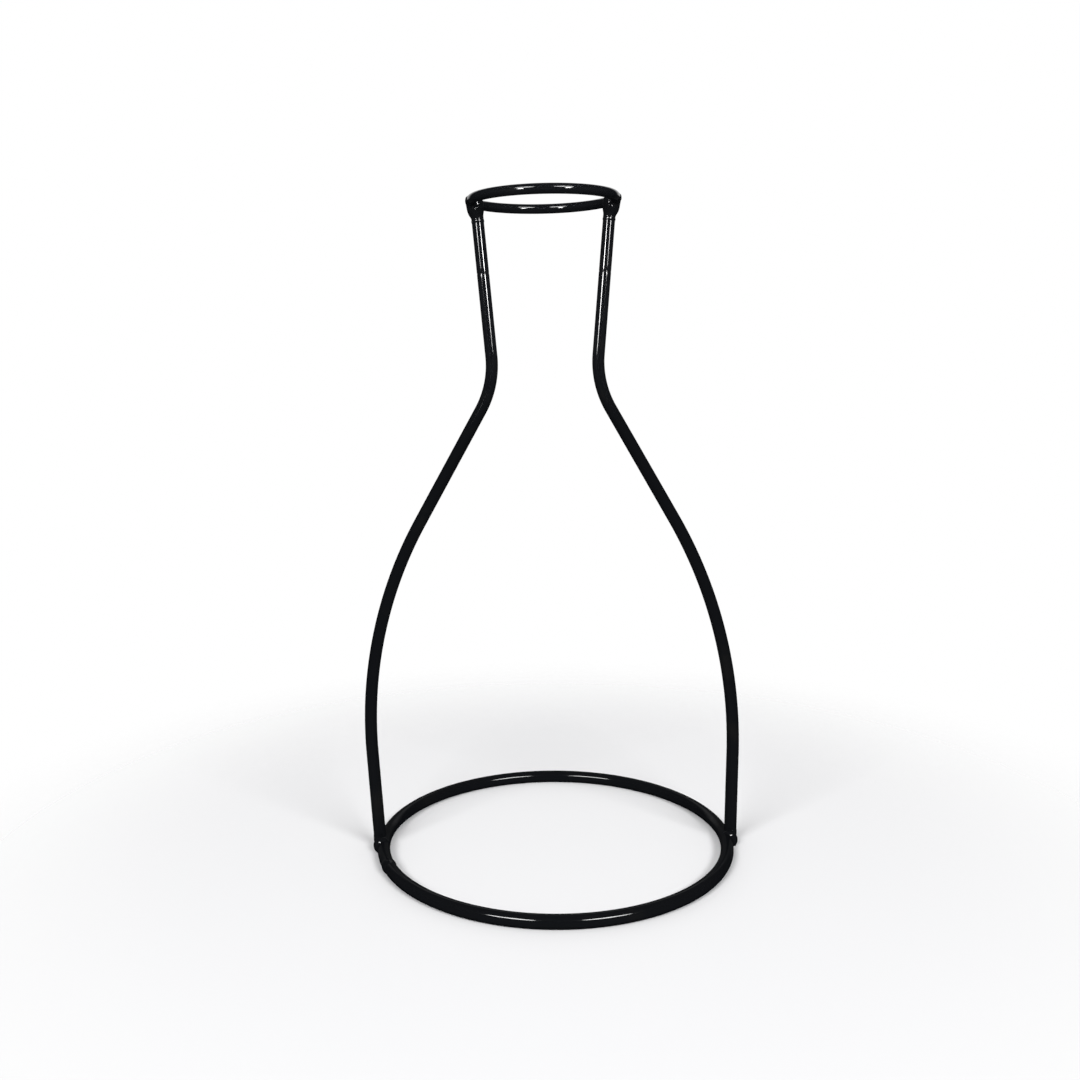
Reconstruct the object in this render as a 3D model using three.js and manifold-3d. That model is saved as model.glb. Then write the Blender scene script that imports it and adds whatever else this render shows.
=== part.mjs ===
// A vase drawn in wire: a small mouth ring, a wide base ring and two bent uprights, welded into one frame.
// Millimetres, +Z up. It stands on z = 0, centred on the Z axis, with both uprights in the XZ plane.
import * as THREE from "three";
import { mergeVertices } from "three/addons/utils/BufferGeometryUtils.js";
import Module from "manifold-3d";

// Overall height, from the floor to the top of the mouth ring
const OVERALL_HEIGHT = 230;

// Lacquered wire thicknesses
const BASE_WIRE = 4.4;
const UPRIGHT_WIRE = 4.3;
const MOUTH_WIRE = 3.6;

// Outside diameters of the two rings
const BASE_RING_OUTSIDE = 124.8;
const MOUTH_RING_OUTSIDE = 54;

// An upright is three straight runs with two bends. A bend's corner is where its two runs would cross.
const FOOT_OFFSET = 2.4; // axis outside the base ring's centreline
const BELLY_CORNER_REACH = 65.3; // from the vase's axis
const BELLY_CORNER_HEIGHT = 78.7; // above the floor
const BELLY_BEND_RADIUS = 150;
const NECK_CORNER_REACH = 17.9;
const NECK_LENGTH = 64.4; // from the neck corner up to the mouth ring's centreline
const NECK_BEND_RADIUS = 33.3;
const HEAD_OFFSET = 1.6; // axis inside the mouth ring's centreline

// The base ring's ends meet in a butt weld, on the front side of the left upright.
const BASE_SEAM_DISTANCE = 21; // along the ring, from the left upright to the weld
const BASE_SEAM_WIDTH = 2.6;
const BASE_SEAM_CREST = 0.7; // the part of that width where the weld is thickest
const BASE_SEAM_BULGE = 0.3; // how far the weld stands proud of the wire

// An upright's ends are coped: hollowed out so that they saddle the rings.
const COPE_DEPTH = 1.3; // how far an end reaches down the side of its ring, from the ring's crown

// Welds at the uprights' ends. Each is a bead at the ring that tapers into a sleeve along the upright.
const FIT_GAP = 0.2; // between pieces that the welds fuse together
const WELD_SKIN = 0.4; // weld metal round an upright, past the fit gap
const BEAD_BULGE = 0.3; // how far a bead stands out past the wires and that skin
const HEAD_WELD_LENGTH = 7; // down the upright from its head
const HEAD_BEAD_DROP = 1.8; // the bead's centre, below the mouth ring's centreline
const FOOT_WELD_LENGTH = 1.8; // up the upright from its foot
const FOOT_BEAD_DROP = 0.4; // the bead's centre, below the base ring's centreline

// Fineness of the round forms
const WIRE_SIDES = 16;
const BASE_RING_STEPS = 96;
const MOUTH_RING_STEPS = 60;
const BELLY_BEND_STEPS = 12;
const NECK_BEND_STEPS = 8;
const WELD_SIDES = 20;
const WELD_STEPS = 6;
const SAME_POINT = 1e-4; // corners closer than this are one

// Black lacquer, which lies a little duller over the welds
const LACQUER_COLOUR = 0x0d0d0e;
const WIRE_ROUGHNESS = 0.2;
const WELD_ROUGHNESS = 0.3;

const wasm = await Module();
wasm.setup();

// Places worked out from the driving dimensions
const baseRingRadius = (BASE_RING_OUTSIDE - BASE_WIRE) / 2;
const mouthRingRadius = (MOUTH_RING_OUTSIDE - MOUTH_WIRE) / 2;
const baseRingHeight = BASE_WIRE / 2;
const mouthRingHeight = OVERALL_HEIGHT - MOUTH_WIRE / 2;
const baseSeamAngle = Math.PI + BASE_SEAM_DISTANCE / baseRingRadius; // from +X towards +Y
const foot = new THREE.Vector3(baseRingRadius + FOOT_OFFSET, 0, BASE_WIRE - COPE_DEPTH);
const bellyCorner = new THREE.Vector3(BELLY_CORNER_REACH, 0, BELLY_CORNER_HEIGHT);
const neckCorner = new THREE.Vector3(NECK_CORNER_REACH, 0, mouthRingHeight - NECK_LENGTH);
const head = new THREE.Vector3(
  mouthRingRadius - HEAD_OFFSET,
  0,
  OVERALL_HEIGHT - MOUTH_WIRE + COPE_DEPTH,
);

// A wire's centreline as stations, each a point and the direction of the wire there.
class WireRun extends THREE.Curve {
  constructor(stations) {
    super();
    this.stations = stations;
    this.steps = stations.length - 1;
  }
  getPointAt(share, target = new THREE.Vector3()) {
    return target.copy(this.stations[Math.round(share * this.steps)].point);
  }
  getTangentAt(share, target = new THREE.Vector3()) {
    return target.copy(this.stations[Math.round(share * this.steps)].direction);
  }
}

// A round run in a level plane, from one angle to another.
function levelArc(radius, height, from, to, steps) {
  const stations = [];
  for (let i = 0; i <= steps; i++) {
    const angle = from + ((to - from) * i) / steps;
    stations.push({
      point: new THREE.Vector3(radius * Math.cos(angle), radius * Math.sin(angle), height),
      direction: new THREE.Vector3(-Math.sin(angle), Math.cos(angle), 0),
    });
  }
  return new WireRun(stations);
}

// The stations of one bend round a corner. Its radius is held to what the straight runs have room for.
function bend(before, corner, after, radius, steps) {
  const inward = corner.clone().sub(before);
  const outward = after.clone().sub(corner);
  const room = Math.min(inward.length(), outward.length()) / 2;
  inward.normalize();
  outward.normalize();
  const turn = inward.angleTo(outward);
  const tangent = Math.min(radius * Math.tan(turn / 2), room);
  const bendRadius = tangent / Math.tan(turn / 2);
  const start = corner.clone().addScaledVector(inward, -tangent);
  const towardsCentre = outward.clone().addScaledVector(inward, -outward.dot(inward)).normalize();
  const stations = [];
  for (let i = 0; i <= steps; i++) {
    const angle = (turn * i) / steps;
    stations.push({
      point: start
        .clone()
        .addScaledVector(inward, bendRadius * Math.sin(angle))
        .addScaledVector(towardsCentre, bendRadius * (1 - Math.cos(angle))),
      direction: inward
        .clone()
        .multiplyScalar(Math.cos(angle))
        .addScaledVector(towardsCentre, Math.sin(angle)),
    });
  }
  return stations;
}

// The upright's centreline, from its foot to its head, with both ends carried on by an overrun.
function uprightRun(overrun) {
  const belly = bend(foot, bellyCorner, neckCorner, BELLY_BEND_RADIUS, BELLY_BEND_STEPS);
  const neck = bend(bellyCorner, neckCorner, head, NECK_BEND_RADIUS, NECK_BEND_STEPS);
  const rise = belly[0].direction;
  const lean = neck[NECK_BEND_STEPS].direction;
  return new WireRun([
    { point: foot.clone().addScaledVector(rise, -overrun), direction: rise },
    ...belly,
    ...neck,
    { point: head.clone().addScaledVector(lean, overrun), direction: lean },
  ]);
}

// A wire along a run. Its many-sided section has flats on top and below, at the wire's true thickness.
function wireAlong(run, radius) {
  const corner = radius / Math.cos(Math.PI / WIRE_SIDES);
  const section = new THREE.Shape();
  for (let i = 0; i < WIRE_SIDES; i++) {
    const angle = ((i + 0.5) * 2 * Math.PI) / WIRE_SIDES;
    const x = corner * Math.cos(angle);
    const y = corner * Math.sin(angle);
    if (i === 0) section.moveTo(x, y);
    else section.lineTo(x, y);
  }
  section.closePath();
  return new THREE.ExtrudeGeometry(section, {
    extrudePath: run,
    steps: run.steps,
    bevelEnabled: false,
  });
}

// A closed geometry as a solid that can be joined and cut.
function toSolid(geometry) {
  const bare = new THREE.BufferGeometry();
  bare.setAttribute("position", geometry.getAttribute("position"));
  if (geometry.index) bare.setIndex(geometry.index);
  const merged = mergeVertices(bare, SAME_POINT);
  return new wasm.Manifold(
    new wasm.Mesh({
      numProp: 3,
      vertProperties: new Float32Array(merged.getAttribute("position").array),
      triVerts: new Uint32Array(merged.index.array),
    }),
  );
}

// The largest body of a solid as a geometry: a cut may leave loose crumbs.
function toGeometry(solid) {
  const bodies = solid.decompose().sort((a, b) => b.volume() - a.volume());
  const mesh = bodies[0].getMesh();
  const geometry = new THREE.BufferGeometry();
  geometry.setAttribute("position", new THREE.BufferAttribute(new Float32Array(mesh.vertProperties), 3));
  geometry.setIndex(new THREE.BufferAttribute(new Uint32Array(mesh.triVerts), 1));
  geometry.computeVertexNormals();
  return geometry;
}

// A round form that stands on the Z axis, from a profile of radius and height.
function turned(profile) {
  const points = profile.map(([radius, height]) => new THREE.Vector2(radius, height));
  return new THREE.LatheGeometry(points, WELD_SIDES).rotateX(Math.PI / 2);
}

// Lays a form that was made along +Z so that it points along a direction from a place.
function laid(geometry, place, direction) {
  const turn = new THREE.Quaternion().setFromUnitVectors(new THREE.Vector3(0, 0, 1), direction);
  return geometry.applyQuaternion(turn).translate(place.x, place.y, place.z);
}

// Room for a wire inside the piece that holds it: the whole upright, and the ring near the upright.
const uprightRoom = toSolid(wireAlong(uprightRun(FIT_GAP), UPRIGHT_WIRE / 2 + FIT_GAP));
function ringRoom(radius, height, wire) {
  const span = (UPRIGHT_WIRE + wire) / radius;
  return toSolid(wireAlong(levelArc(radius, height, -span, span, WELD_STEPS), wire / 2 + FIT_GAP));
}
const mouthRoom = ringRoom(mouthRingRadius, mouthRingHeight, MOUTH_WIRE);
const baseRoom = ringRoom(baseRingRadius, baseRingHeight, BASE_WIRE);

// A ring wire, with its two ends facing each other across a seam.
function ringWire(radius, height, wire, seamAngle, seamWidth, steps) {
  const half = seamWidth / 2 / radius;
  const run = levelArc(radius, height, seamAngle + half, seamAngle + 2 * Math.PI - half, steps);
  return wireAlong(run, wire / 2);
}

// An upright, with both ends coped to sit against the rings.
function uprightWire() {
  const wire = toSolid(wireAlong(uprightRun(0), UPRIGHT_WIRE / 2));
  return toGeometry(wire.subtract(mouthRoom).subtract(baseRoom));
}

// A weld that is dressed flush underneath, so that the vase stands flat on its base ring.
function dressed(weld) {
  const slab = new THREE.BoxGeometry(BASE_RING_OUTSIDE * 2, BASE_RING_OUTSIDE * 2, BASE_WIRE);
  slab.translate(0, 0, -BASE_WIRE / 2);
  return weld.subtract(toSolid(slab));
}

// The butt weld in the base ring: a short barrel between the wire's ends.
function baseSeamWeld() {
  const radius = BASE_WIRE / 2;
  const crown = radius + BASE_SEAM_BULGE;
  const half = BASE_SEAM_WIDTH / 2 - FIT_GAP;
  const barrel = turned([
    [0, -half],
    [radius, -half],
    [crown, -BASE_SEAM_CREST / 2],
    [crown, BASE_SEAM_CREST / 2],
    [radius, half],
    [0, half],
  ]);
  const along = new THREE.Vector3(-Math.sin(baseSeamAngle), Math.cos(baseSeamAngle), 0);
  const place = new THREE.Vector3(
    baseRingRadius * Math.cos(baseSeamAngle),
    baseRingRadius * Math.sin(baseSeamAngle),
    baseRingHeight,
  );
  return toGeometry(dressed(toSolid(laid(barrel, place, along))));
}

// A weld at an upright's end: from a thin sleeve round the upright it swells into a bead that spans
// both wires, and it is cut to hold them.
function endWeld(end, away, length, beadHeight, ringSide, room) {
  const skinned = UPRIGHT_WIRE / 2 + FIT_GAP + WELD_SKIN;
  const outside = Math.max(ringSide, end.x + skinned) + BEAD_BULGE;
  const inside = end.x - skinned - BEAD_BULGE;
  const beadRadius = (outside - inside) / 2;
  const sleeveRadius = skinned - WELD_SKIN / 2;
  const sleeveEnd = end.clone().addScaledVector(away, length);
  const beadCentre = new THREE.Vector3((outside + inside) / 2, 0, beadHeight);
  const swell = beadCentre.clone().sub(sleeveEnd);
  const profile = [[0, 0]];
  for (let i = 0; i <= WELD_STEPS; i++) {
    const share = i / WELD_STEPS;
    const ease = (1 - Math.cos(Math.PI * share)) / 2;
    profile.push([THREE.MathUtils.lerp(sleeveRadius, beadRadius, ease), swell.length() * share]);
  }
  for (let i = 1; i <= WELD_STEPS; i++) {
    const angle = (Math.PI / 2) * (i / WELD_STEPS);
    const radius = i < WELD_STEPS ? beadRadius * Math.cos(angle) : 0;
    profile.push([radius, swell.length() + beadRadius * Math.sin(angle)]);
  }
  const weld = toSolid(laid(turned(profile), sleeveEnd, swell.clone().normalize()));
  return toGeometry(dressed(weld.subtract(room).subtract(uprightRoom)));
}
function headWeld() {
  const down = neckCorner.clone().sub(head).normalize();
  const beadHeight = mouthRingHeight - HEAD_BEAD_DROP;
  return endWeld(head, down, HEAD_WELD_LENGTH, beadHeight, MOUTH_RING_OUTSIDE / 2, mouthRoom);
}
function footWeld() {
  const up = bellyCorner.clone().sub(foot).normalize();
  const beadHeight = baseRingHeight - FOOT_BEAD_DROP;
  return endWeld(foot, up, FOOT_WELD_LENGTH, beadHeight, BASE_RING_OUTSIDE / 2, baseRoom);
}

// A named piece in its own coat of lacquer.
function piece(name, geometry, roughness) {
  const lacquer = new THREE.MeshStandardMaterial({ color: LACQUER_COLOUR, roughness, metalness: 0 });
  const mesh = new THREE.Mesh(geometry, lacquer);
  mesh.name = name;
  return mesh;
}

const vase = new THREE.Group();
vase.name = "wire_vase";
vase.add(
  piece(
    "base_ring",
    ringWire(
      baseRingRadius,
      baseRingHeight,
      BASE_WIRE,
      baseSeamAngle,
      BASE_SEAM_WIDTH,
      BASE_RING_STEPS,
    ),
    WIRE_ROUGHNESS,
  ),
  piece("base_ring_seam_weld", baseSeamWeld(), WELD_ROUGHNESS),
  // The mouth ring's ends meet end to end at the right upright's weld.
  piece(
    "mouth_ring",
    ringWire(mouthRingRadius, mouthRingHeight, MOUTH_WIRE, 0, FIT_GAP, MOUTH_RING_STEPS),
    WIRE_ROUGHNESS,
  ),
);

// The two sides are the same pieces, the left one turned half round.
for (const [side, turn] of [
  ["right", 0],
  ["left", Math.PI],
]) {
  const half = new THREE.Group();
  half.rotation.z = turn;
  half.add(
    piece(`${side}_upright`, uprightWire(), WIRE_ROUGHNESS),
    piece(`${side}_head_weld`, headWeld(), WELD_ROUGHNESS),
    piece(`${side}_foot_weld`, footWeld(), WELD_ROUGHNESS),
  );
  vase.add(half);
}

export default vase;
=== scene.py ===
"""Looks of the wire vase: smooth bent wires, weld beads and black lacquer, on a pale studio floor.

Metres, +Z up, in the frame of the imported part: it stands on z = 0, with both uprights in the XZ plane.
"""

import math

import bmesh
import bpy
from mathutils import Matrix, Vector, noise


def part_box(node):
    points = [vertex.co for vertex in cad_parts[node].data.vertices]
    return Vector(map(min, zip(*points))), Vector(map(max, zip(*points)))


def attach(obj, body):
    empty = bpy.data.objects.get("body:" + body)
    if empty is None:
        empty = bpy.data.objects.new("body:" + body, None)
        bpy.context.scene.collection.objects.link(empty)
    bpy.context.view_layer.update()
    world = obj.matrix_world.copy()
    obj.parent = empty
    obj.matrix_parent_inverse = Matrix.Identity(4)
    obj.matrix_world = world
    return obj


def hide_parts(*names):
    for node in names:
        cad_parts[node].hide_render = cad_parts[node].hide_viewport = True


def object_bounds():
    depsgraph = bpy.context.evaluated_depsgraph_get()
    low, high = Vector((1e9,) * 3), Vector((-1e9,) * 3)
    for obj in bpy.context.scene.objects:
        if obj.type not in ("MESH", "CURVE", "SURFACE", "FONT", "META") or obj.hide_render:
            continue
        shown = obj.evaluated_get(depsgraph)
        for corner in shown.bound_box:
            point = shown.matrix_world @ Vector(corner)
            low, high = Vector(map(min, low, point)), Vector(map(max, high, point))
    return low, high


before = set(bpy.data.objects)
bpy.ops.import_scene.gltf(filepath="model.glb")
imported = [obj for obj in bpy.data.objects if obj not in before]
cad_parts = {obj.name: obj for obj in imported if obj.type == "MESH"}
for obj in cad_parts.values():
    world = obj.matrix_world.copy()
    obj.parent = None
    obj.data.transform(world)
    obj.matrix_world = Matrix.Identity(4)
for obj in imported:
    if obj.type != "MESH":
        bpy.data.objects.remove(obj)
cad_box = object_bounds()

bl_info = {
    "name": "Wire Vase",
    "version": (1, 0, 0),
    "blender": (4, 5, 0),
    "location": "View3D > Sidebar > Wire Vase",
    "description": "Bends, welds and lacquers a vase drawn in wire, and lights it on a studio floor",
    "category": "Add Mesh",
}

MM = 0.001
BODY = "root"
BACK = Vector((0, 1, 0))
UP = Vector((0, 0, 1))

# The two sides: each one's sign along X, and its turn about the vase's axis
SIGNS = {"right": 1, "left": -1}
TURNS = {"right": 0, "left": math.pi}

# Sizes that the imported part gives
base_low, base_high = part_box("base_ring")
mouth_low, mouth_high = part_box("mouth_ring")
upright_low, upright_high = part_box("right_upright")


def length(name, description, default):
    """A property that holds a length in metres."""
    return bpy.props.FloatProperty(
        name=name,
        description=description,
        default=default,
        precision=5,
        unit="LENGTH",
        subtype="DISTANCE",
    )


def angle(name, description, default):
    """A property that holds an angle, given in degrees."""
    return bpy.props.FloatProperty(
        name=name,
        description=description,
        default=math.radians(default),
        precision=4,
        unit="ROTATION",
        subtype="ANGLE",
    )


def share(name, description, default):
    """A property that holds a number from 0 to 1."""
    return bpy.props.FloatProperty(
        name=name, description=description, default=default, min=0, max=1, subtype="FACTOR"
    )


def power(name, description, default):
    """A property that holds a lamp's power in watts."""
    return bpy.props.FloatProperty(name=name, description=description, default=default, unit="POWER")


def colour(name, description, default):
    """A property that holds a linear colour."""
    return bpy.props.FloatVectorProperty(
        name=name, description=description, default=default, size=3, min=0, max=1, subtype="COLOR"
    )


class VaseWires(bpy.types.PropertyGroup):
    """The four wires and their bends."""

    height: length("Height", "From the floor to the top of the mouth ring", cad_box[1].z)
    base_wire: length("Base wire", "Thickness of the base ring's wire", base_high.z - base_low.z)
    mouth_wire: length("Mouth wire", "Thickness of the mouth ring's wire", mouth_high.z - mouth_low.z)
    upright_wire: length("Upright wire", "Thickness of an upright", upright_high.y - upright_low.y)
    base_outside: length("Base ring", "Outside diameter of the base ring", 124.8 * MM)
    mouth_outside: length("Mouth ring", "Outside diameter of the mouth ring", 54 * MM)
    foot_offset: length("Foot offset", "Foot's axis outside the base ring's centreline", 1.9 * MM)
    head_offset: length("Head offset", "Head's axis inside the mouth ring's centreline", 1.6 * MM)
    cope: length("Cope", "How far an upright's end reaches along the side of its ring", 1.3 * MM)
    belly_reach: length("Belly reach", "From the vase's axis to the belly corner", 66.2 * MM)
    belly_height: length("Belly height", "From the floor to the belly corner", 76.9 * MM)
    belly_bend: length("Belly bend", "Radius of the belly bend", 152 * MM)
    neck_reach: length("Neck reach", "From the vase's axis to the neck corner", 17.95 * MM)
    neck_length: length("Neck length", "From the neck corner up to the mouth ring", 64.8 * MM)
    neck_bend: length("Neck bend", "Radius of the neck bend", 33.3 * MM)
    uneven_foot: length("Uneven foot", "Half of the left foot's lead inwards", 0.3 * MM)
    uneven_reach: length("Uneven belly", "Half of the left belly's lead outwards", 0.6 * MM)
    uneven_height: length("Uneven belly height", "Half of the left belly's lead upwards", 0.57 * MM)
    uneven_bend: length("Uneven belly bend", "Half of how much tighter the left belly is bent", 7 * MM)
    uneven_neck: length("Uneven neck", "Half of the left neck's lead outwards", 0.36 * MM)
    mark_drop: length("Clamp mark", "The bending clamp's mark, below the upright's end", 25.2 * MM)
    mark_depth: length("Clamp mark depth", "Depth of the bending clamp's mark", 0.06 * MM)
    mark_width: length("Clamp mark width", "Width of the bending clamp's mark", 0.9 * MM)


class VaseWelds(bpy.types.PropertyGroup):
    """The weld beads."""

    voxel: length("Fineness", "Size of the cells in which weld metal runs together", 0.11 * MM)
    lump: length("Lumps", "How far the weld metal bulges at random", 0.02 * MM)
    lump_size: length("Lump size", "How far apart those bulges lie", 1.8 * MM)
    seam_distance: length("Seam distance", "From the left upright along the base ring", 21 * MM)
    seam_width: length("Seam width", "Width of the base ring's seam", 2.8 * MM)
    seam_bulge: length("Seam bulge", "How far the seam stands proud of the wire", 0.26 * MM)
    head_run: length("Head run", "How far a head weld runs along the mouth ring, each way", 4.0 * MM)
    head_lap: length("Head lap", "How far it lies over the mouth ring's outer side", 0.36 * MM)
    head_sag: length("Head sag", "How far it hangs below the mouth ring", 0.3 * MM)
    crater_drop: length("Crater drop", "How far a crater lies below the mouth ring's middle", 2.7 * MM)
    crater_reach: length("Crater reach", "From an upright's axis to the crater before it", 3.05 * MM)
    crater_radius: length("Crater radius", "Radius of a crater, left where the arc stopped", 0.95 * MM)
    crater_depth: length("Crater depth", "How deep a crater is sunk", 0.4 * MM)
    feather: length("Feather", "How deep a bead's thin edge dives into the wire", 0.03 * MM)


class VaseLacquer(bpy.types.PropertyGroup):
    """The black lacquer."""

    wire_colour: colour("Wire lacquer", "Colour of the lacquer on the wires", (0.0043, 0.0047, 0.0056))
    thin_colour: colour("Thin lacquer", "Colour where the lacquer lies thin", (0.0066, 0.0067, 0.0069))
    weld_colour: colour("Weld lacquer", "Colour of the lacquer on the welds", (0.0046, 0.005, 0.0059))
    wire_roughness: share("Wire roughness", "Roughness of the lacquer on the wires", 0.07)
    weld_roughness: share("Weld roughness", "Roughness of the lacquer on the welds", 0.1)
    wire_streaks: share("Wire streaks", "How far streaks change the gloss of the wires", 0.15)
    weld_streaks: share("Weld streaks", "How far streaks change the gloss of the welds", 0.25)
    gloss: share("Gloss", "Weight of the lacquer's clear top coat", 0.8)
    low_gloss: share("Low gloss", "Share of that coat out of the spray, low down and underneath", 0.02)
    spray_start: length("Spray start", "Height where the spray begins to reach upright faces", 157 * MM)
    spray_full: length("Spray full", "Height from which the spray covers upright faces", 170 * MM)
    edge_gloss: share("Edge gloss", "Weight of that coat where it is seen edge on", 0.03)
    rim_gloss: share("Rim gloss", "Weight it gains on the mouth ring, seen nearly edge on", 0.8)
    peel_depth: length("Orange peel", "Depth of the lacquer's orange peel", 0.0006 * MM)


class VaseStudio(bpy.types.PropertyGroup):
    """The floor, the lamps, the backdrop and the camera."""

    floor_colour: colour("Floor colour", "Colour of the floor", (0.89, 0.89, 0.9))
    floor_roughness: share("Floor roughness", "Roughness of the floor", 0.5)
    floor_shine: share("Floor shine", "Specular level of the floor", 0.15)
    floor_clear: length("Floor's middle", "Radius inside which the floor has its full colour", 110 * MM)
    floor_reach: length("Floor's edge", "Radius where the floor has faded into the backdrop", 250 * MM)
    fill: share("Fill", "Level of the soft light from all round", 0.36)
    dim: share("Dim side", "Level of the room that the lacquer mirrors in front of the vase", 0.02)
    softbox_angle: angle("Softbox angle", "From straight in front, to each side", 31)
    softbox_distance: length("Softbox distance", "From the vase's axis to a softbox", 2400 * MM)
    softbox_height: length("Softbox height", "From the floor to the middle of a softbox", 1700 * MM)
    softbox_aim: length("Softbox aim", "Height on the vase's axis that a softbox faces", cad_box[1].z / 2)
    softbox_width: length("Softbox width", "Width of a softbox", 1400 * MM)
    softbox_length: length("Softbox length", "Length of a softbox", 530 * MM)
    softbox_power: power("Softbox power", "Power of a softbox", 52)
    strip_angle: angle("Strip angle", "From straight in front, to each side", 34)
    strip_distance: length("Strip distance", "From the vase's axis to a strip lamp", 200 * MM)
    strip_height: length("Strip height", "From the floor to the middle of a strip lamp", 230 * MM)
    strip_aim: length("Strip aim", "Height on the vase's axis that a strip lamp faces", 200 * MM)
    strip_width: length("Strip width", "Width of a strip lamp", 44 * MM)
    strip_length: length("Strip length", "Length of a strip lamp", 86 * MM)
    strip_spread: angle("Strip spread", "Angle to which a grid narrows a strip lamp's light", 15)
    strip_power: power("Strip power", "Power of a strip lamp", 0.0081)
    camera_place: bpy.props.FloatVectorProperty(
        name="Camera",
        description="Place of the camera",
        default=(-0.01516, -0.39916, 0.17147),
        precision=5,
        unit="LENGTH",
        subtype="TRANSLATION",
    )
    camera_yaw: angle("Camera yaw", "Turn of the camera to the right", -0.275)
    camera_pitch: angle("Camera pitch", "Turn of the camera below the horizon", 1.398)
    camera_roll: angle("Camera roll", "Roll of the camera", -1.06)
    camera_lens: bpy.props.FloatProperty(
        name="Lens", description="Focal length in millimetres", default=37.841, unit="CAMERA"
    )
    camera_shift: bpy.props.FloatVectorProperty(
        name="Shift", description="Shift of the lens, in picture widths", default=(0.039, -0.139), size=2
    )


# Slope from which a wire counts as standing up
STEEP = 0.9

# How finely the wires, welds and floor are made
WIRE_SIDES = 48
BASE_STEPS = 320
MOUTH_STEPS = 200
BELLY_STEPS = 60
NECK_STEPS = 28
MARK_STEPS = 8
RUN_STEP = 1.5 * MM
SLEEVE_STEPS = 24
BALL_LEVELS = 4
CREASE_ROUNDS = 5
FLOOR_SIDES = 96

# Seeds of the welds' random lumps, where a pair takes two, the right side first
HEAD_SEED = 1
FOOT_SEED = 3
SEAM_SEED = 7

# Sections of the weld beads along an upright, in millimetres: the height over the ring's centreline, how
# far the bead's middle lies outside the upright's axis, and its radius
HEAD_BEAD = (
    (1.75, 1.75, 0.9),
    (1.4, 1.6, 1.7),
    (0.8, 1.25, 2.35),
    (0.2, 0.75, 2.95),
    (-0.6, 0.5, 3.14),
    (-1.6, 0.42, 3.12),
    (-2.5, 0.38, 3.07),
    (-3.1, 0.36, 3.03),
    (-3.7, 0.36, 2.95),
    (-4.6, 0.34, 2.72),
    (-5.2, 0.28, 2.5),
    (-5.8, 0.14, 2.29),
    (-6.5, 0.0, 2.17),
    (-7.0, 0.0, 2.22),
    (-7.4, 0.0, 2.32),
    (-7.8, 0.0, 2.2),
    (-8.3, 0.0, 2.0),
)
FOOT_BEAD = (
    (3.0, 0.0, 2.0),
    (2.5, 0.0, 2.18),
    (2.0, 0.0, 2.24),
    (1.2, 0.0, 2.28),
    (0.4, 0.0, 2.25),
    (-0.4, 0.0, 2.1),
    (-1.1, 0.0, 1.8),
    (-1.6, 0.0, 1.3),
)
# Balls of weld metal in front of each foot, in millimetres: the place from the base ring's centreline, to
# the outside, towards the back and up, then the radius and the share of it that is left from front to back
FOOT_BALLS = {
    "left": ((0.6, -4.2, 0.3, 2.95, 0.8), (1.0, -2.3, 0.0, 2.3, 1.0)),
    "right": ((1.15, -2.95, -0.2, 3.1, 0.65),),
}

# Noise in the lacquer: waves in a metre, and levels of finer detail
CLOUDS = (90.0, 3.0)
STREAKS = (420.0, 2.0)
PEEL = (700.0, 1.0)

# Levels of that noise between which the lacquer gets thinner or duller
THIN_CLOUDS = (0.55, 0.8)
DULL_STREAKS = (0.3, 0.75)

# How far edge on a face is seen where the top coat fades, and where it comes back on the mouth ring
EDGE_FADE = (0.3, 0.6)
RIM_RISE = (0.64, 0.78)

# How far up a face looks where the spray begins and where it is full, and what height adds to that
SPRAY_RISE = (0.36, 0.5)
SPRAY_HEIGHT_SHARE = 0.65

# How far back a direction points where the mirrored white backdrop begins and where it is full
BACKDROP_RISE = (0.65, 0.85)


def spun(vector, turn):
    """A vector or point turned about the vase's axis."""
    return Matrix.Rotation(turn, 3, "Z") @ vector


def turned(bm, turn):
    """Turns a whole mesh about the vase's axis."""
    bmesh.ops.rotate(bm, verts=bm.verts, cent=(0, 0, 0), matrix=Matrix.Rotation(turn, 3, "Z"))


def at_height(point, direction, height):
    """The point of a straight line at a height."""
    return point + direction * ((height - point.z) / direction.z)


def centreline_radius(outside, wire):
    """The radius of a ring's centreline."""
    return (outside - wire) / 2


def loop(bm, centre, direction, radius):
    """A round loop of edges about a centre, square to a direction."""
    # All loops of a wire start on the same side, so that the wire doesn't twist.
    side = direction.cross(UP if abs(direction.z) < STEEP else BACK).normalized()
    turn = Matrix((side, direction.cross(side), direction)).transposed().to_4x4()
    made = bmesh.ops.create_circle(
        bm, cap_ends=False, segments=WIRE_SIDES, radius=radius, matrix=Matrix.Translation(centre) @ turn
    )
    return list(dict.fromkeys(edge for vert in made["verts"] for edge in vert.link_edges))


def drawn(bm, edges, travel, scale=1.0):
    """Draws a loop on along a straight run, and gives the loop at its far end."""
    made = bmesh.ops.extrude_edge_only(bm, edges=edges)["geom"]
    ends = [item for item in made if isinstance(item, bmesh.types.BMVert)]
    bmesh.ops.translate(bm, verts=ends, vec=travel)
    if scale != 1.0:
        middle = sum((vert.co for vert in ends), Vector()) / len(ends)
        bmesh.ops.scale(bm, verts=ends, vec=(scale,) * 3, space=Matrix.Translation(-middle))
    edges = [item for item in made if isinstance(item, bmesh.types.BMEdge)]
    return [edge for edge in edges if set(edge.verts) <= set(ends)]


def straight(bm, edges, travel):
    """Draws a loop on along a straight run in short steps, and gives the loop at its far end."""
    steps = math.ceil(travel.length / RUN_STEP)
    for _ in range(steps):
        edges = drawn(bm, edges, travel / steps)
    return edges


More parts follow.
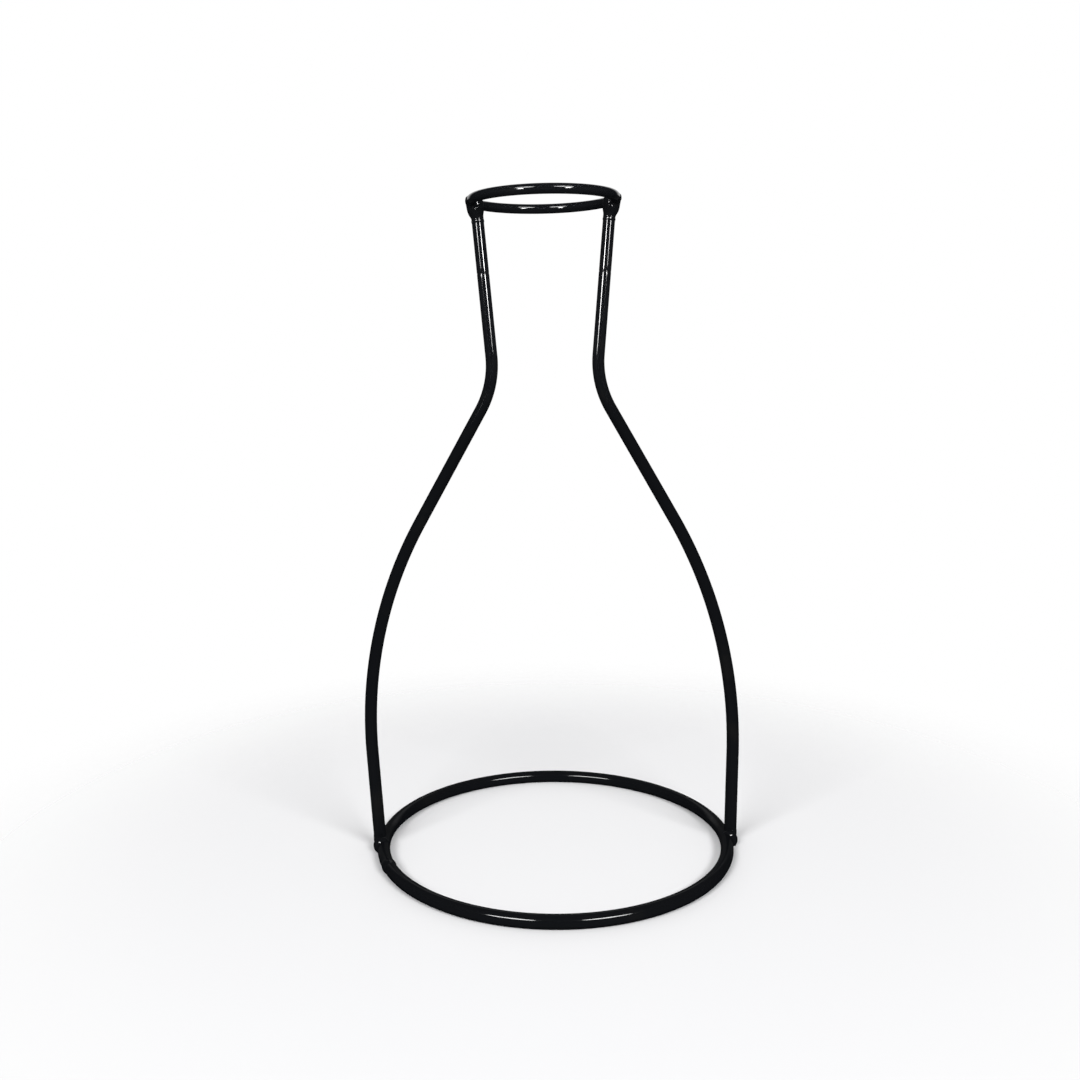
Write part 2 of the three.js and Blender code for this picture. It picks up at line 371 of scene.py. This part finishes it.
def bent(bm, edges, centre, axis, turn, steps):
    """Draws a loop on round a bend, and gives the loop at its far end."""
    made = bmesh.ops.spin(
        bm,
        geom=edges,
        cent=centre,
        axis=axis,
        dvec=(0, 0, 0),
        angle=turn,
        steps=steps,
        use_duplicate=False,
    )
    return [item for item in made["geom_last"] if isinstance(item, bmesh.types.BMEdge)]


def capped(bm, *loops):
    """Closes the open ends of a wire or weld."""
    for edges in loops:
        bmesh.ops.holes_fill(bm, edges=edges, sides=WIRE_SIDES)


def lofted(bm, sections):
    """A closed round body through sections, each with a centre, a direction and a radius."""
    loops = [loop(bm, *section) for section in sections]
    for lower, upper in zip(loops, loops[1:]):
        bmesh.ops.bridge_loops(bm, edges=lower + upper)
    capped(bm, loops[0], loops[-1])


def finished(name, bm, material):
    """Makes a mesh into a smooth piece that rides on the vase and replaces the node of that name."""
    bmesh.ops.recalc_face_normals(bm, faces=bm.faces)
    for face in bm.faces:
        face.smooth = True
    mesh = bpy.data.meshes.new(name + "_looks")
    bm.to_mesh(mesh)
    bm.free()
    piece = bpy.data.objects.new(name + "_looks", mesh)
    bpy.context.scene.collection.objects.link(piece)
    mesh.materials.append(material)
    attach(piece, BODY)
    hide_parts(name)


def sleeve(bm, ring_radius, ring_height, middle, reach, radius, skin=0.0):
    """A sleeve along a ring, on both sides of an angle.

    A skin makes it swell in the middle and run out in the wire at its ends.
    """
    feather = bpy.context.scene.vase_welds.feather
    rows = []
    for i in range(SLEEVE_STEPS + 1):
        along = 2 * i / SLEEVE_STEPS - 1
        swell = (skin + feather) * math.cos(along * math.pi / 2) ** 2 - feather if skin else 0
        turn = middle + along * reach / ring_radius
        place = spun(Vector((ring_radius, 0, ring_height)), turn)
        rows.append((place, spun(BACK, turn), radius + swell))
    lofted(bm, rows)


def bead(bm, sections, end, axis, ring_height):
    """A bead of weld metal round an upright's end."""
    rows = []
    for height, outwards, radius in sections:
        middle = at_height(end, axis, ring_height + height * MM)
        rows.append((middle + Vector((outwards * MM, 0, 0)), axis, radius * MM))
    lofted(bm, rows)


def fused(bm, voxel):
    """Runs the overlapping bodies of a weld together into one skin, and rounds its creases."""
    mesh = bpy.data.meshes.new("weld_metal")
    bmesh.ops.recalc_face_normals(bm, faces=bm.faces)
    bm.to_mesh(mesh)
    bm.free()
    metal = bpy.data.objects.new("weld_metal", mesh)
    bpy.context.scene.collection.objects.link(metal)
    remesh = metal.modifiers.new("Run together", "REMESH")
    remesh.mode = "VOXEL"
    remesh.voxel_size = voxel
    smooth = metal.modifiers.new("Round creases", "SMOOTH")
    smooth.factor = 0.5
    smooth.iterations = CREASE_ROUNDS
    bpy.context.view_layer.update()
    shape = metal.evaluated_get(bpy.context.evaluated_depsgraph_get())
    skin = bmesh.new()
    skin.from_mesh(shape.to_mesh())
    shape.to_mesh_clear()
    bpy.data.objects.remove(metal)
    bpy.data.meshes.remove(mesh)
    return skin


def lumpy(bm, depth, size, seed):
    """Lets weld metal bulge and sink at random, the same way in each run."""
    bm.normal_update()
    # The seed moves the pattern, so that no two welds are alike.
    shift = Vector((seed, seed * 1.7, seed * 2.3))
    for vert in bm.verts:
        # Lumps carry smaller ones, half as wide and half as high.
        level = noise.noise(vert.co / size + shift) + 0.5 * noise.noise(vert.co * 2 / size - shift)
        vert.co += vert.normal * (depth * level)


def level_off(bm):
    """Dresses weld metal flush with the floor, so that the vase stands flat on its base ring."""
    for vert in bm.verts:
        vert.co.z = max(vert.co.z, 0)


def run_together(bm, seed):
    """Runs the bodies of a weld together, lets them bulge and dresses them flush with the floor."""
    welds = bpy.context.scene.vase_welds
    bm = fused(bm, welds.voxel)
    lumpy(bm, welds.lump, welds.lump_size, seed)
    level_off(bm)
    return bm


def dented(bm, place, radius, depth):
    """Sinks a round crater into the front of a weld."""
    for vert in bm.verts:
        away = (vert.co - place).length / radius
        if away < 1:
            vert.co.y += depth * (1 - away * away) ** 2


class Upright:
    """Where an upright's runs and bends lie, in the XZ plane, as if both stood on the right side.

    The wires are bent by hand, so the two sides differ a little.
    """

    def __init__(self, wires, side):
        uneven = -SIGNS[side]
        mouth_height = wires.height - wires.mouth_wire / 2
        base_radius = centreline_radius(wires.base_outside, wires.base_wire)
        mouth_radius = centreline_radius(wires.mouth_outside, wires.mouth_wire)
        foot_reach = base_radius + wires.foot_offset - uneven * wires.uneven_foot
        foot_height = wires.base_wire - wires.cope
        belly_reach = wires.belly_reach + uneven * wires.uneven_reach
        belly_height = wires.belly_height + uneven * wires.uneven_height
        neck_reach = wires.neck_reach + uneven * wires.uneven_neck
        head_reach = mouth_radius - wires.head_offset
        head_height = wires.height - wires.mouth_wire + wires.cope
        self.foot = Vector((foot_reach, 0, foot_height))
        self.belly = Vector((belly_reach, 0, belly_height))
        self.neck = Vector((neck_reach, 0, mouth_height - wires.neck_length))
        self.head = Vector((head_reach, 0, head_height))
        self.belly_bend = wires.belly_bend - uneven * wires.uneven_bend
        self.rise = (self.belly - self.foot).normalized()
        self.lean = (self.neck - self.belly).normalized()
        self.flare = (self.head - self.neck).normalized()

    @staticmethod
    def bend(corner, before, after, radius):
        """Where a bend starts, its centre, its axis, its turn and where it ends."""
        turn = before.angle(after)
        reach = radius * math.tan(turn / 2)
        start = corner - before * reach
        axis = before.cross(after).normalized()
        centre = start + axis.cross(before) * radius
        return start, centre, axis, turn, corner + after * reach


class Signal:
    """A socket of a node tree. Arithmetic on it adds Math nodes."""

    def __init__(self, graph, socket):
        self.graph = graph
        self.socket = socket

    def combine(self, operation, first, second):
        return self.graph.node("ShaderNodeMath", {"operation": operation}, {0: first, 1: second})

    def __add__(self, other):
        return self.combine("ADD", self, other)

    def __radd__(self, other):
        return self.combine("ADD", other, self)

    def __sub__(self, other):
        return self.combine("SUBTRACT", self, other)

    def __rsub__(self, other):
        return self.combine("SUBTRACT", other, self)

    def __mul__(self, other):
        return self.combine("MULTIPLY", self, other)

    def __rmul__(self, other):
        return self.combine("MULTIPLY", other, self)


class Graph:
    """The node tree of a material or the world."""

    def __init__(self, owner):
        owner.use_nodes = True
        self.tree = owner.node_tree
        self.tree.nodes.clear()

    def node(self, kind, settings=None, inputs=None, output=0):
        """Adds a node, with its settings first and then its inputs, and gives one of its outputs."""
        made = self.tree.nodes.new(kind)
        for name, value in (settings or {}).items():
            setattr(made, name, value)
        for name, value in (inputs or {}).items():
            if isinstance(value, Signal):
                self.tree.links.new(value.socket, made.inputs[name])
            else:
                made.inputs[name].default_value = value
        return Signal(self, made.outputs[output]) if made.outputs else None

    def noise(self, place, scale, detail):
        inputs = {"Vector": place, "Scale": scale, "Detail": detail}
        return self.node("ShaderNodeTexNoise", None, inputs)

    def ramp(self, value, low, high, start=0.0, end=1.0):
        """Runs smoothly from start to end as a value goes from low to high."""
        return self.node(
            "ShaderNodeMapRange",
            {"interpolation_type": "SMOOTHSTEP"},
            {"Value": value, "From Min": low, "From Max": high, "To Min": start, "To Max": end},
        )

    def tint(self, factor, first, second):
        """Mixes two colours."""
        return self.node(
            "ShaderNodeMix",
            {"data_type": "RGBA"},
            {"Factor": factor, "A": (*first, 1), "B": (*second, 1)},
            output="Result",
        )


def lacquer(name, full_colour, roughness, streaks, rim=0.0):
    """Black lacquer under a clear top coat: thin here and there, with orange peel and dull streaks."""
    material = bpy.data.materials.get(name)
    if material:
        return material
    finish = bpy.context.scene.vase_lacquer
    material = bpy.data.materials.new(name)
    graph = Graph(material)
    place = graph.node("ShaderNodeTexCoord", output="Object")
    thin = graph.ramp(graph.noise(place, *CLOUDS), *THIN_CLOUDS)
    dull = graph.ramp(graph.noise(place, *STREAKS), *DULL_STREAKS, 1 - streaks, 1 + streaks)
    edge_on = graph.node("ShaderNodeLayerWeight", None, {"Blend": 0.5}, output="Facing")
    coat = graph.ramp(edge_on, *EDGE_FADE, finish.gloss, finish.edge_gloss)
    if rim:
        coat = coat + graph.ramp(edge_on, *RIM_RISE, 0.0, rim)
    # The top coat is sprayed from above: faces that look up get it at any height, upright ones near the
    # mouth, and undersides hardly at all.
    height = graph.node("ShaderNodeSeparateXYZ", None, {"Vector": place}, output="Z")
    outwards = graph.node("ShaderNodeTexCoord", output="Normal")
    upwards = graph.node("ShaderNodeSeparateXYZ", None, {"Vector": outwards}, output="Z")
    reached = SPRAY_HEIGHT_SHARE * graph.ramp(height, finish.spray_start, finish.spray_full)
    sprayed = graph.ramp(upwards + reached, *SPRAY_RISE, finish.low_gloss, 1.0)
    peel = graph.noise(place, *PEEL)
    bump = graph.node(
        "ShaderNodeBump", None, {"Height": peel, "Strength": 1.0, "Distance": finish.peel_depth}
    )
    shader = graph.node(
        "ShaderNodeBsdfPrincipled",
        None,
        {
            "Base Color": graph.tint(thin, full_colour, finish.thin_colour),
            "Roughness": roughness * dull,
            "Specular IOR Level": 0.0,
            "Coat Weight": coat * sprayed * (2 - dull),
            "Coat Roughness": roughness,
            "Normal": bump,
        },
    )
    graph.node("ShaderNodeOutputMaterial", None, {"Surface": shader})
    return material


def wire_lacquer():
    """The lacquer on the base ring and the uprights."""
    finish = bpy.context.scene.vase_lacquer
    return lacquer("wire_lacquer", finish.wire_colour, finish.wire_roughness, finish.wire_streaks)


def mouth_lacquer():
    """The lacquer on the mouth ring, which is glossy near its edges too."""
    finish = bpy.context.scene.vase_lacquer
    wire = (finish.wire_colour, finish.wire_roughness, finish.wire_streaks)
    return lacquer("mouth_lacquer", *wire, finish.rim_gloss)


def weld_lacquer():
    """The lacquer on the welds."""
    finish = bpy.context.scene.vase_lacquer
    return lacquer("weld_lacquer", finish.weld_colour, finish.weld_roughness, finish.weld_streaks)


class WIREVASE_OT_rings(bpy.types.Operator):
    """Bend the base ring, open at its seam, and the mouth ring"""

    bl_idname = "wire_vase.rings"
    bl_label = "Rings"

    def execute(self, context):
        wires = context.scene.vase_wires
        self.bend_base(wires, context.scene.vase_welds)
        self.bend_mouth(wires)
        return {"FINISHED"}

    def bend_base(self, wires, welds):
        radius = centreline_radius(wires.base_outside, wires.base_wire)
        gap = welds.seam_width / 2 / radius
        start = math.pi + welds.seam_distance / radius + gap
        bm = bmesh.new()
        centre = spun(Vector((radius, 0, wires.base_wire / 2)), start)
        first = loop(bm, centre, spun(BACK, start), wires.base_wire / 2)
        last = bent(bm, first, (0, 0, 0), UP, 2 * math.pi - 2 * gap, BASE_STEPS)
        capped(bm, first, last)
        finished("base_ring", bm, wire_lacquer())

    def bend_mouth(self, wires):
        radius = centreline_radius(wires.mouth_outside, wires.mouth_wire)
        bm = bmesh.new()
        centre = Vector((radius, 0, wires.height - wires.mouth_wire / 2))
        bmesh.ops.spin(
            bm,
            geom=loop(bm, centre, BACK, wires.mouth_wire / 2),
            cent=(0, 0, 0),
            axis=UP,
            dvec=(0, 0, 0),
            angle=2 * math.pi,
            steps=MOUTH_STEPS,
            use_merge=True,
            use_duplicate=False,
        )
        finished("mouth_ring", bm, mouth_lacquer())


class WIREVASE_OT_base_seam(bpy.types.Operator):
    """Weld the base ring's ends together"""

    bl_idname = "wire_vase.base_seam"
    bl_label = "Base seam"

    def execute(self, context):
        wires = context.scene.vase_wires
        welds = context.scene.vase_welds
        radius = centreline_radius(wires.base_outside, wires.base_wire)
        middle = math.pi + welds.seam_distance / radius
        half_wire = wires.base_wire / 2
        bm = bmesh.new()
        sleeve(bm, radius, half_wire, middle, welds.seam_width, half_wire, welds.seam_bulge)
        bm = run_together(bm, SEAM_SEED)
        finished("base_ring_seam_weld", bm, weld_lacquer())
        return {"FINISHED"}


class WIREVASE_OT_uprights(bpy.types.Operator):
    """Bend the two uprights"""

    bl_idname = "wire_vase.uprights"
    bl_label = "Uprights"

    def execute(self, context):
        for side in TURNS:
            self.bend_upright(context.scene.vase_wires, side)
        return {"FINISHED"}

    def bend_upright(self, wires, side):
        path = Upright(wires, side)
        radius = wires.upright_wire / 2
        bm = bmesh.new()
        first = loop(bm, path.foot, path.rise, radius)
        start, *bend, end = path.bend(path.belly, path.rise, path.lean, path.belly_bend)
        edges = straight(bm, first, start - path.foot)
        edges = bent(bm, edges, *bend, BELLY_STEPS)
        start, *bend, neck_end = path.bend(path.neck, path.lean, path.flare, wires.neck_bend)
        edges = straight(bm, edges, start - end)
        edges = bent(bm, edges, *bend, NECK_STEPS)
        # The clamp that held the wire for bending has left a shallow groove round the neck.
        mark = path.head - path.flare * wires.mark_drop
        half_mark = path.flare * (wires.mark_width / 2)
        edges = straight(bm, edges, mark - half_mark - neck_end)
        step = path.flare * (wires.mark_width / MARK_STEPS)
        thickness = 1.0
        for i in range(1, MARK_STEPS + 1):
            dip = math.sin(math.pi * i / MARK_STEPS) ** 2 * wires.mark_depth / radius
            edges = drawn(bm, edges, step, (1 - dip) / thickness)
            thickness = 1 - dip
        edges = straight(bm, edges, path.head - mark - half_mark)
        capped(bm, first, edges)
        turned(bm, TURNS[side])
        finished(side + "_upright", bm, wire_lacquer())


class WIREVASE_OT_head_welds(bpy.types.Operator):
    """Weld the uprights' heads to the mouth ring"""

    bl_idname = "wire_vase.head_welds"
    bl_label = "Head welds"

    def execute(self, context):
        wires = context.scene.vase_wires
        welds = context.scene.vase_welds
        height = wires.height - wires.mouth_wire / 2
        lap = centreline_radius(wires.mouth_outside, wires.mouth_wire) + welds.head_lap
        for seed, (side, turn) in enumerate(TURNS.items(), HEAD_SEED):
            path = Upright(wires, side)
            bm = bmesh.new()
            bead(bm, HEAD_BEAD, path.head, path.flare, height)
            sleeve(bm, lap, height - welds.head_sag, 0, welds.head_run, wires.mouth_wire / 2)
            bm = run_together(bm, seed)
            turned(bm, turn)
            axis_point = spun(at_height(path.head, path.flare, height - welds.crater_drop), turn)
            crater = axis_point - BACK * welds.crater_reach
            dented(bm, crater, welds.crater_radius, welds.crater_depth)
            finished(side + "_head_weld", bm, weld_lacquer())
        return {"FINISHED"}


class WIREVASE_OT_foot_welds(bpy.types.Operator):
    """Weld the uprights' feet to the base ring"""

    bl_idname = "wire_vase.foot_welds"
    bl_label = "Foot welds"

    def execute(self, context):
        wires = context.scene.vase_wires
        height = wires.base_wire / 2
        centreline = Vector((centreline_radius(wires.base_outside, wires.base_wire), 0, height))
        for seed, (side, sign) in enumerate(SIGNS.items(), FOOT_SEED):
            path = Upright(wires, side)
            bm = bmesh.new()
            bead(bm, FOOT_BEAD, path.foot, path.rise, height)
            for *offset, radius, flatness in FOOT_BALLS[side]:
                place = Matrix.Translation(centreline + Vector(offset) * MM)
                flat = Matrix.Diagonal((1, flatness, 1, 1))
                bmesh.ops.create_icosphere(
                    bm, subdivisions=BALL_LEVELS, radius=radius * MM, matrix=place @ flat
                )
            bmesh.ops.scale(bm, verts=bm.verts, vec=(sign, 1, 1))
            bm = run_together(bm, seed)
            finished(side + "_foot_weld", bm, weld_lacquer())
        return {"FINISHED"}


def floor_finish(studio):
    """Pale, smooth floor that fades into the backdrop."""
    material = bpy.data.materials.new("studio_floor")
    graph = Graph(material)
    place = graph.node("ShaderNodeTexCoord", output="Object")
    distance = graph.node("ShaderNodeVectorMath", {"operation": "LENGTH"}, {0: place}, output="Value")
    fade = graph.ramp(distance, studio.floor_clear, studio.floor_reach)
    surface = graph.node(
        "ShaderNodeBsdfPrincipled",
        None,
        {
            "Base Color": (*studio.floor_colour, 1),
            "Roughness": studio.floor_roughness,
            "Specular IOR Level": studio.floor_shine,
        },
    )
    clear = graph.node("ShaderNodeBsdfTransparent")
    mixed = graph.node("ShaderNodeMixShader", None, {0: fade, 1: surface, 2: clear})
    graph.node("ShaderNodeOutputMaterial", None, {"Surface": mixed})
    return material


def add_floor(studio):
    """A round floor under the vase."""
    bm = bmesh.new()
    bmesh.ops.create_circle(bm, cap_ends=True, segments=FLOOR_SIDES, radius=studio.floor_reach)
    mesh = bpy.data.meshes.new("floor")
    bm.to_mesh(mesh)
    bm.free()
    floor = bpy.data.objects.new("floor", mesh)
    bpy.context.scene.collection.objects.link(floor)
    mesh.materials.append(floor_finish(studio))


def light_world(studio):
    """White behind the vase, for the camera and in mirrored light. Elsewhere a soft, even fill."""
    world = bpy.data.worlds.new("studio")
    bpy.context.scene.world = world
    graph = Graph(world)
    direction = graph.node("ShaderNodeTexCoord", output="Generated")
    depth = graph.node("ShaderNodeSeparateXYZ", None, {"Vector": direction}, output="Y")
    behind = graph.ramp(depth, *BACKDROP_RISE)
    seen = graph.node("ShaderNodeLightPath", output="Is Camera Ray")
    through = graph.node("ShaderNodeLightPath", output="Is Transmission Ray")
    mirrored = graph.node("ShaderNodeLightPath", output="Is Glossy Ray")
    white = seen + through + mirrored * behind
    level = studio.fill * (1 - mirrored) + studio.dim * mirrored
    strength = white + (1 - white) * level
    background = graph.node("ShaderNodeBackground", None, {"Color": (1, 1, 1, 1), "Strength": strength})
    graph.node("ShaderNodeOutputWorld", None, {"Surface": background})


def add_lamp(name, place, aim, size, watts, spread=math.pi):
    """A flat oval lamp that faces a height on the vase's axis."""
    lamp = bpy.data.lights.new(name, "AREA")
    lamp.shape = "ELLIPSE"
    lamp.size, lamp.size_y = size
    lamp.spread = spread
    lamp.energy = watts
    holder = bpy.data.objects.new(name, lamp)
    bpy.context.scene.collection.objects.link(holder)
    holder.location = place
    holder.rotation_euler = (Vector((0, 0, aim)) - place).to_track_quat("-Z", "Y").to_euler()
    holder.visible_camera = False


def add_lamps(studio):
    """On each side, a softbox for the whole vase and a strip lamp for its neck."""
    softbox = Vector((0, -studio.softbox_distance, studio.softbox_height))
    softbox_size = (studio.softbox_width, studio.softbox_length)
    strip = Vector((0, -studio.strip_distance, studio.strip_height))
    strip_size = (studio.strip_width, studio.strip_length)
    for side in ("left", "right"):
        place = spun(softbox, SIGNS[side] * studio.softbox_angle)
        add_lamp(side + "_softbox", place, studio.softbox_aim, softbox_size, studio.softbox_power)
        place = spun(strip, SIGNS[side] * studio.strip_angle)
        beam = (studio.strip_power, studio.strip_spread)
        add_lamp(side + "_strip", place, studio.strip_aim, strip_size, *beam)


def add_camera(studio):
    """A camera that sees the vase as the photograph does."""
    camera = bpy.data.cameras.new("camera")
    camera.lens = studio.camera_lens
    camera.shift_x, camera.shift_y = studio.camera_shift
    camera.clip_start = 10 * MM
    holder = bpy.data.objects.new("camera", camera)
    bpy.context.scene.collection.objects.link(holder)
    holder.matrix_world = (
        Matrix.Translation(studio.camera_place)
        @ Matrix.Rotation(-studio.camera_yaw, 4, "Z")
        @ Matrix.Rotation(math.pi / 2 - studio.camera_pitch, 4, "X")
        @ Matrix.Rotation(studio.camera_roll, 4, "Z")
    )
    bpy.context.scene.camera = holder


class WIREVASE_OT_stage(bpy.types.Operator):
    """Set up the floor, the light and the camera"""

    bl_idname = "wire_vase.stage"
    bl_label = "Stage"

    def execute(self, context):
        studio = context.scene.vase_studio
        context.scene.view_settings.view_transform = "Standard"
        add_floor(studio)
        light_world(studio)
        add_lamps(studio)
        add_camera(studio)
        return {"FINISHED"}


class WIREVASE_PT_panel(bpy.types.Panel):
    """The wire vase's pieces and their sizes"""

    bl_idname = "WIREVASE_PT_panel"
    bl_label = "Wire Vase"
    bl_space_type = "VIEW_3D"
    bl_region_type = "UI"
    bl_category = "Wire Vase"

    def draw(self, context):
        for operator in OPERATORS:
            self.layout.operator(operator.bl_idname)
        for name, kind in GROUPS.items():
            column = self.layout.column()
            for key in kind.__annotations__:
                column.prop(getattr(context.scene, name), key)


GROUPS = {
    "vase_wires": VaseWires,
    "vase_welds": VaseWelds,
    "vase_lacquer": VaseLacquer,
    "vase_studio": VaseStudio,
}
OPERATORS = (
    WIREVASE_OT_stage,
    WIREVASE_OT_rings,
    WIREVASE_OT_base_seam,
    WIREVASE_OT_uprights,
    WIREVASE_OT_head_welds,
    WIREVASE_OT_foot_welds,
)
CLASSES = (*GROUPS.values(), *OPERATORS, WIREVASE_PT_panel)


def register():
    for kind in CLASSES:
        bpy.utils.register_class(kind)
    for name, kind in GROUPS.items():
        setattr(bpy.types.Scene, name, bpy.props.PointerProperty(type=kind))


def unregister():
    for name in GROUPS:
        delattr(bpy.types.Scene, name)
    for kind in reversed(CLASSES):
        bpy.utils.unregister_class(kind)


def main():
    register()
    bpy.ops.wire_vase.stage()
    bpy.ops.wire_vase.rings()
    bpy.ops.wire_vase.base_seam()
    bpy.ops.wire_vase.uprights()
    bpy.ops.wire_vase.head_welds()
    bpy.ops.wire_vase.foot_welds()


if __name__ == "__main__":
    main()
